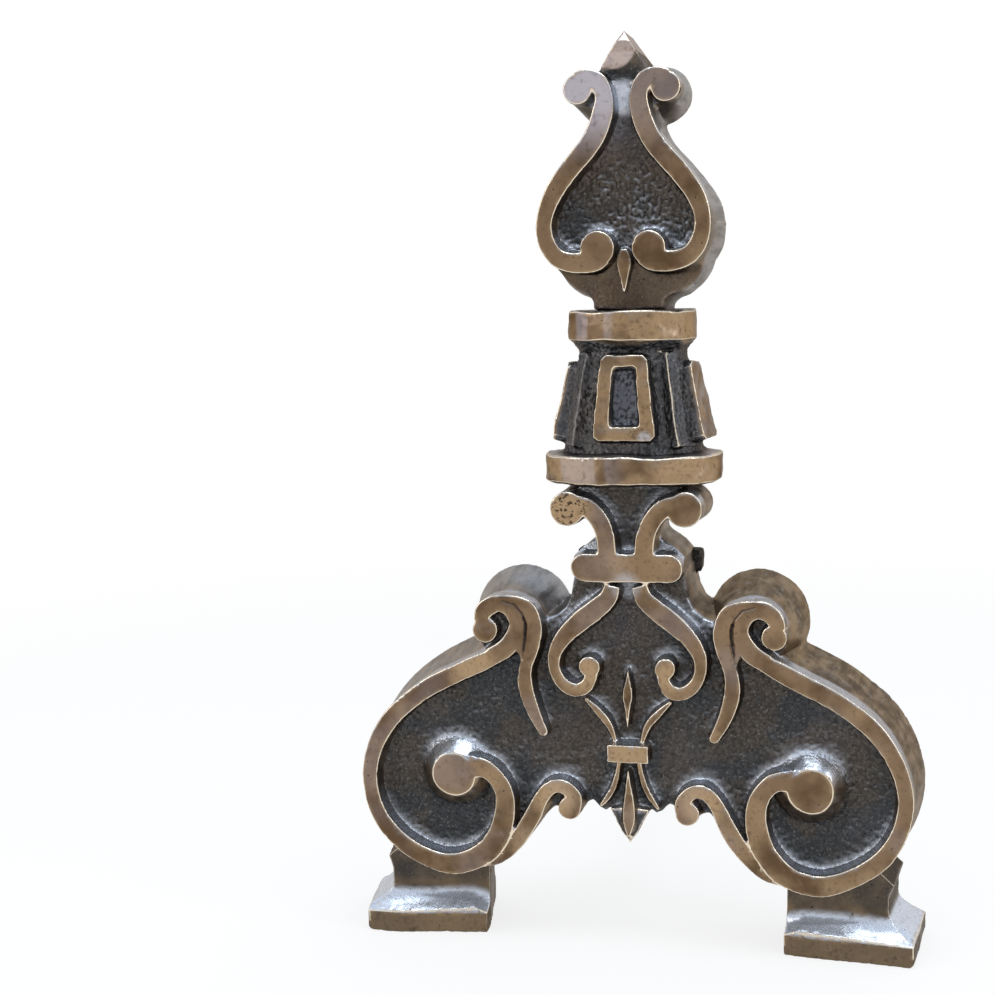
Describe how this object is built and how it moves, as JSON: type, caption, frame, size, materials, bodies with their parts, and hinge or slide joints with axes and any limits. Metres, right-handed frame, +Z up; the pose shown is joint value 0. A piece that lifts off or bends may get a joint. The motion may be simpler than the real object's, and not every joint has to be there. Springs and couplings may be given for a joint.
{
  "type": "andiron",
  "caption": "Cast bronze scroll andiron with drum, bulb finial, arched base on feet, and an iron log bar on a rear leg.",
  "frame": {"origin": "on the floor, at the centre of the footprint of the whole andiron", "axes": "+X to the right seen from the room, +Y from the decorated front towards the fire, +Z up"},
  "size_m": [0.2558, 0.3614, 0.4],
  "materials": {
    "bronze": "dark patinated cast bronze, worn bright on raised edges",
    "dark_bronze": "dark patinated cast bronze",
    "iron": "black forged iron",
    "steel": "dull grey steel"
  },
  "bodies": {
    "root": {"base_casting": "bronze", "left_foot": "dark_bronze", "right_foot": "dark_bronze", "foot_screws": "steel", "foot_washers": "steel", "foot_dowels": "steel", "drum_casting": "bronze", "drum_dowels": "steel", "finial_casting": "bronze", "finial_dowels": "steel", "tie_rod": "iron", "tie_rod_nut": "steel", "tie_rod_washer": "steel", "back_strap": "iron", "strap_screws": "steel", "strap_washers": "steel", "billet_bar": "iron", "rear_leg": "iron", "rear_washer": "steel", "rear_nut": "steel"}
  },
  "joints": []
}
